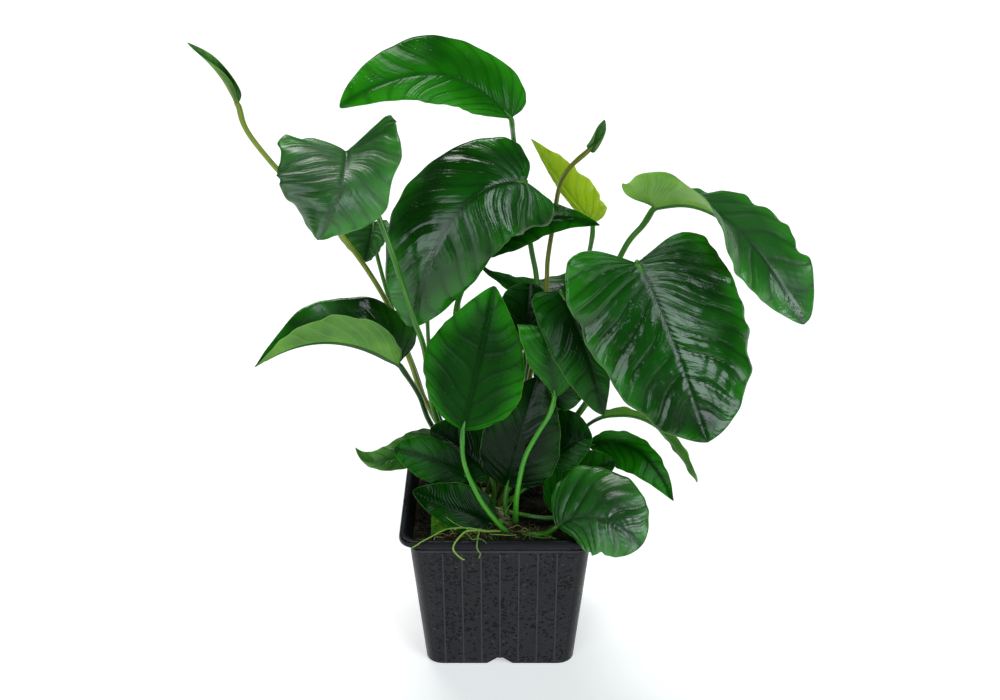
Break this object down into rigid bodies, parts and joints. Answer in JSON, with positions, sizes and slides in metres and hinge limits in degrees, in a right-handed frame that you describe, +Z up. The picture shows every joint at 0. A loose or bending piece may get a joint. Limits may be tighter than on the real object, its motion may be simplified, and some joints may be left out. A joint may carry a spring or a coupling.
{
  "type": "potted anubias plant",
  "caption": "Broad-leaved anubias aquarium plant with long arching stalks, growing from a creeping stem in a thin square plastic nursery pot that stands on its base.",
  "frame": {"origin": "centre of the pot's base, on the surface that the pot stands on", "axes": "+Z up, -Y towards the front side of the pot that the picture shows, +X to the viewer's right"},
  "size_m": [0.3292, 0.1496, 0.3395],
  "materials": {
    "pot_plastic": "satin",
    "growing_medium": "matte",
    "rhizome_green": "satin",
    "leaf_dark": "gloss",
    "leaf_bright": "gloss",
    "leaf_yellow": "satin",
    "stalk_green": "satin",
    "stalk_olive": "satin"
  },
  "bodies": {
    "root": {"pot": "pot_plastic", "growing_medium": "growing_medium", "rhizome": "rhizome_green", "leaf_rolled": "leaf_dark", "stalk_rolled": "stalk_olive", "leaf_saddle": "leaf_dark", "stalk_saddle": "stalk_green", "leaf_arching": "leaf_bright", "stalk_arching": "stalk_green", "leaf_high": "leaf_dark", "stalk_high": "stalk_green", "leaf_shaded": "leaf_dark", "stalk_shaded": "stalk_green", "leaf_yellow": "leaf_yellow", "stalk_yellow": "stalk_green", "leaf_bud": "leaf_yellow", "stalk_bud": "stalk_olive", "leaf_small_left": "leaf_dark", "stalk_small_left": "stalk_green", "leaf_heart": "leaf_dark", "stalk_heart": "stalk_green", "leaf_upper_right": "leaf_dark", "stalk_upper_right": "stalk_green", "leaf_bowed": "leaf_dark", "stalk_bowed": "stalk_green", "leaf_edgewise": "leaf_dark", "stalk_edgewise": "stalk_green", "leaf_over_rim": "leaf_dark", "stalk_over_rim": "stalk_green", "leaf_low_right": "leaf_dark", "stalk_low_right": "stalk_green", "leaf_curved_right": "leaf_dark", "stalk_curved_right": "stalk_green", "leaf_torn_tip": "leaf_dark", "stalk_torn_tip": "stalk_green", "leaf_low_shaded": "leaf_dark", "stalk_low_shaded": "stalk_green", "leaf_centre": "leaf_dark", "stalk_centre": "stalk_green", "leaf_inner_back": "leaf_bright", "stalk_inner_back": "stalk_green", "leaf_folded_tip": "leaf_bright", "stalk_folded_tip": "stalk_green", "leaf_back_centre": "leaf_dark", "stalk_back_centre": "stalk_green", "leaf_glossy": "leaf_dark", "stalk_glossy": "stalk_green", "leaf_front_bright": "leaf_bright", "stalk_front_bright": "stalk_green", "leaf_folded_left": "leaf_dark", "stalk_folded_left": "stalk_green", "leaf_inner_left": "leaf_bright", "stalk_inner_left": "stalk_green", "leaf_low_oval": "leaf_dark", "stalk_low_oval": "stalk_green", "leaf_twisted": "leaf_dark", "stalk_twisted": "stalk_green", "leaf_in_pot": "leaf_dark", "stalk_in_pot": "stalk_green"}
  },
  "joints": []
}
